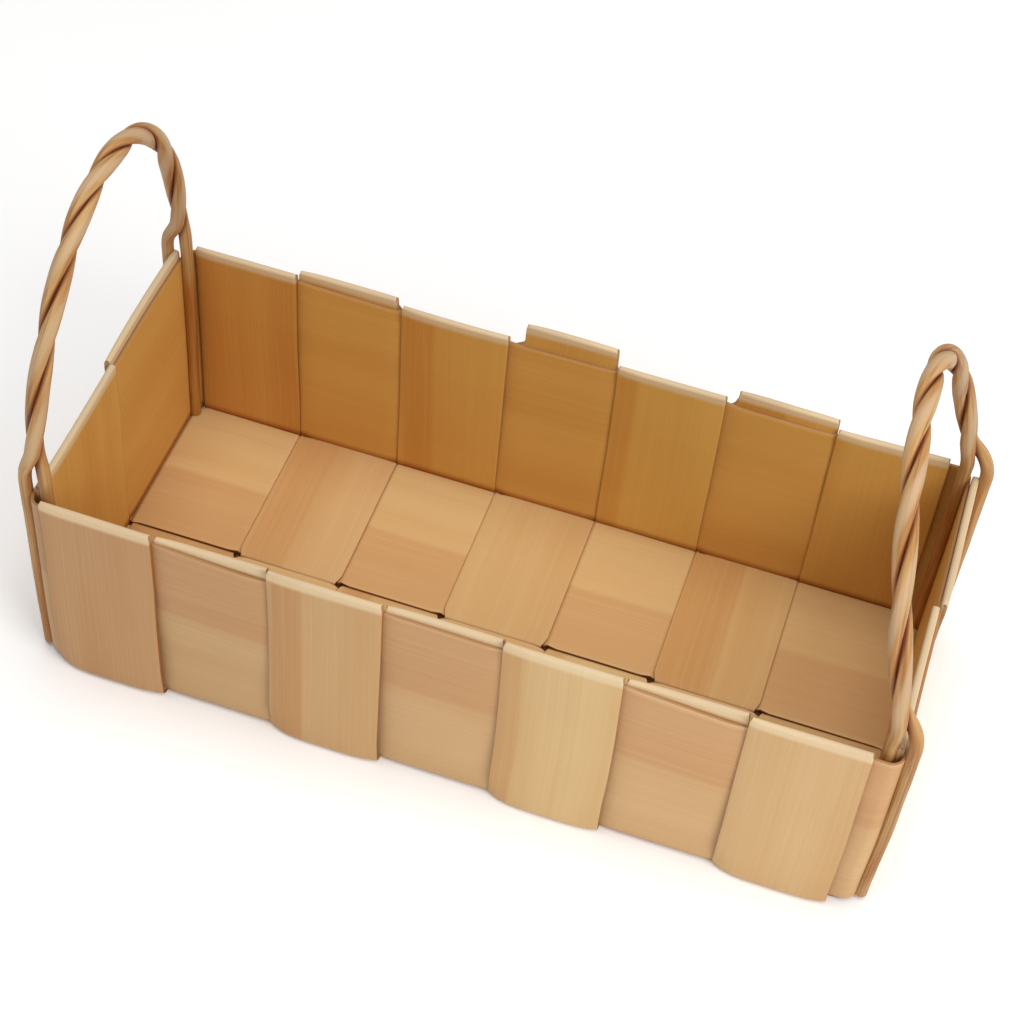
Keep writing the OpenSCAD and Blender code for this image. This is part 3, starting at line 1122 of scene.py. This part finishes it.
def slot_end(p):
    """Beyond the last cross splint the two lengthwise splints close up."""
    joint = min(abs(p.x - cross_x(k) - PITCH / 2) for k in range(1, CROSS_COUNT))
    return (SLOT_GAP - LOOK_GAP) / 2 * past_base(p, SLOT_CLOSE_RUN) + LONG_NOTCH_SHARE * notch(joint)


for back, look in LONG_LOOKS.items():
    side = 1 if back else -1
    name = "long_splint_back" if back else "long_splint_front"
    points = [Vector((p.x, side * (LONG_LOOK_W + SLOT_GAP) / 2, p.y)) for p in closely(long_path(back))]
    piece = splint(
        name,
        points,
        width=LONG_LOOK_W,
        across=(0.0, 1.0, 0.0),
        strands=LONG_STRANDS,
        start=LONG_START + side,
        material=pine("pine_" + name, LONG_LOOK_W, **look),
        dips=foot_reach if back else slot_end,
        drops=slot_end if back else foot_reach,
        hold=hold_long(back),
        ends=[(END_RISE[1 if back else 0], slant, 0, 0) for slant in END_SLANT],
    )

# Wall band
BAND_STRANDS = 41
BAND_START = 12.0
BAND_LOOK = dict(pale=tint(210, 174, 126), warm=tint(204, 164, 114), heart=(ROSE, 30, 24, 0.7))
# Bays where the upper edge sags, with the depth of the sag, and how far it runs on beyond the bay
BAND_SAGS = {2: 2.5, 4: 1.0, 6: 3.2}
SAG_END_RUN = 4
# How far the lower edge drops behind the front wall and at the back corners, and where that starts
BAND_DROP = 1.8
BAND_DROP_START = 2
BAND_DROP_RUN = 12
CORNER_DROP = 1.5
CORNER_START_X = WALL_X - 6
CORNER_RUN_X = 1.5
CORNER_START_Y = WALL_Y - 5
CORNER_RUN_Y = 2


def band_dip(p):
    """On the front wall the band's upper edge sags towards the right of some bays."""
    if p.y > 0:
        return 0.0
    dip = 0.0
    for k, depth in BAND_SAGS.items():
        left = cross_x(k) - PITCH / 2
        right = cross_x(k) + PITCH / 2
        dip -= depth * eased((p.x - left) / PITCH) * eased((right - p.x) / SAG_END_RUN + 1)
    return dip


def band_drop(p):
    """Behind the front wall the band comes down to the base, and at the back corners to the floor."""
    corner = eased((abs(p.x) - CORNER_START_X) / CORNER_RUN_X) * eased((p.y - CORNER_START_Y) / CORNER_RUN_Y)
    return BAND_DROP * eased((p.y + WALL_Y - BAND_DROP_START) / BAND_DROP_RUN) + CORNER_DROP * corner


piece = splint(
    "wall_band",
    [Vector((p.x, p.y, BAND_LIFT + BAND_H / 2)) for p in closely(band_path())],
    width=BAND_H,
    across=(0.0, 0.0, 1.0),
    strands=BAND_STRANDS,
    start=BAND_START,
    material=pine("pine_band", BAND_H, **BAND_LOOK, outside_only=True),
    dips=band_dip,
    drops=band_drop,
)

# Handle rods
WILLOW = willow("willow")
for side, lean, name in ((-1, LEFT_LEAN, "left"), (1, RIGHT_LEAN, "right")):
    for inner in (True, False):
        node = f"{name}_handle_{'inner' if inner else 'outer'}_rod"
        points, girth, mates = zip(*rod_path(side, inner, lean))
        sizes = {
            "Radius": ROD_R * MM,
            "Sides": ROD_SIDES,
            "Flatten": ROD_FLATTEN,
            "Spread": ROD_SPREAD,
            "Nestle": ROD_NESTLE * MM,
            "Knobble": ROD_KNOBBLE * MM,
            "Sway": SWAY * MM,
            "Start": ROD_GRAIN_SHIFT * side + (INNER_GRAIN_SHIFT if inner else 0.0),
            "Material": WILLOW,
        }
        marks = {"along": metres(along_path(points)), "girth": girth, "mate": mates}
        piece = make_piece(node + "_wood", points, marks, ROD_TREE, sizes)
        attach(piece, "root")
        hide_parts(node)

# Floor, light and camera, with the floor and the lights in metres
FLOOR_HALF = 6.0
SHADOWED_X = (194 * MM, 200 * MM)
SHADOWED_Y = (82 * MM, 88 * MM)
KEY_LIGHT = dict(place=(0.8, -0.55, 0.85), target=(0, 0, 0.05), size=0.7, power=7.0, colour=(1.0, 0.97, 0.93))
TOP_LIGHT = dict(place=(0.0, -0.1, 3.4), target=(0, 0, 0), size=2.6, power=60.0, colour=(1.0, 1.0, 1.0))
SKY_STRENGTH = 0.5
SENSOR_W = 36.0
FRAME_W = 1024
CAMERA = dict(azimuth=13.45, elevation=50.38, roll=6.0, place=(153.3, -637.2, 889.9), focal=2200.0)


def make_floor():
    """A white floor with a painted shadow under the basket, where no light reaches."""
    material, board = new_material("pale_floor")
    place = board.place()
    px, py, _ = board.parts(place)
    # Painted shadow under the basket
    shadowed = (1 - board.step(px.size(), *SHADOWED_X)) * (1 - board.step(py.size(), *SHADOWED_Y))
    pale = board.mix(board.noise(place, scale=3.0, detail=3.0), FLOOR_DIM, FLOOR_BRIGHT)
    board.finish(board.mix(shadowed, pale, SHADOW_UNDER_BASKET), rough=0.9, specular=0.1)
    mesh = bpy.data.meshes.new("floor")
    far = FLOOR_HALF
    mesh.from_pydata([(-far, -far, 0), (far, -far, 0), (far, far, 0), (-far, far, 0)], [], [(0, 1, 2, 3)])
    mesh.materials.append(material)
    floor = bpy.data.objects.new("floor", mesh)
    bpy.context.scene.collection.objects.link(floor)


def make_light(name, place, target, size, power, colour):
    lamp = bpy.data.lights.new(name, "AREA")
    lamp.shape = "DISK"
    lamp.size = size
    lamp.energy = power
    lamp.color = colour
    light = bpy.data.objects.new(name, lamp)
    light.location = place
    light.rotation_euler = (Vector(target) - Vector(place)).to_track_quat("-Z", "Y").to_euler()
    bpy.context.scene.collection.objects.link(light)


def make_world():
    world = bpy.data.worlds.new("studio")
    world.use_nodes = True
    sky = world.node_tree.nodes["Background"]
    sky.inputs["Color"].default_value = (1.0, 1.0, 1.0, 1.0)
    sky.inputs["Strength"].default_value = SKY_STRENGTH
    bpy.context.scene.world = world
    bpy.context.scene.view_settings.view_transform = "Standard"


def make_camera(azimuth, elevation, roll, place, focal):
    """Angles are in degrees, place is in millimetres, and focal is in pixels of the frame."""
    az, el, turn = (math.radians(a) for a in (azimuth, elevation, roll))
    back = Vector((math.sin(az) * math.cos(el), -math.cos(az) * math.cos(el), math.sin(el)))
    level = Vector((math.cos(az), math.sin(az), 0))
    rise = back.cross(level)
    right = level * math.cos(turn) + rise * math.sin(turn)
    up = rise * math.cos(turn) - level * math.sin(turn)
    lens = bpy.data.cameras.new("camera")
    lens.sensor_width = SENSOR_W
    lens.lens = focal / FRAME_W * SENSOR_W
    lens.clip_start = 0.01
    camera = bpy.data.objects.new("camera", lens)
    turned = Matrix((right, up, back)).transposed().to_4x4()
    camera.matrix_world = Matrix.Translation(Vector(place) * MM) @ turned
    bpy.context.scene.collection.objects.link(camera)
    bpy.context.scene.camera = camera


make_floor()
make_light("key", **KEY_LIGHT)
make_light("top", **TOP_LIGHT)
make_world()
make_camera(**CAMERA)
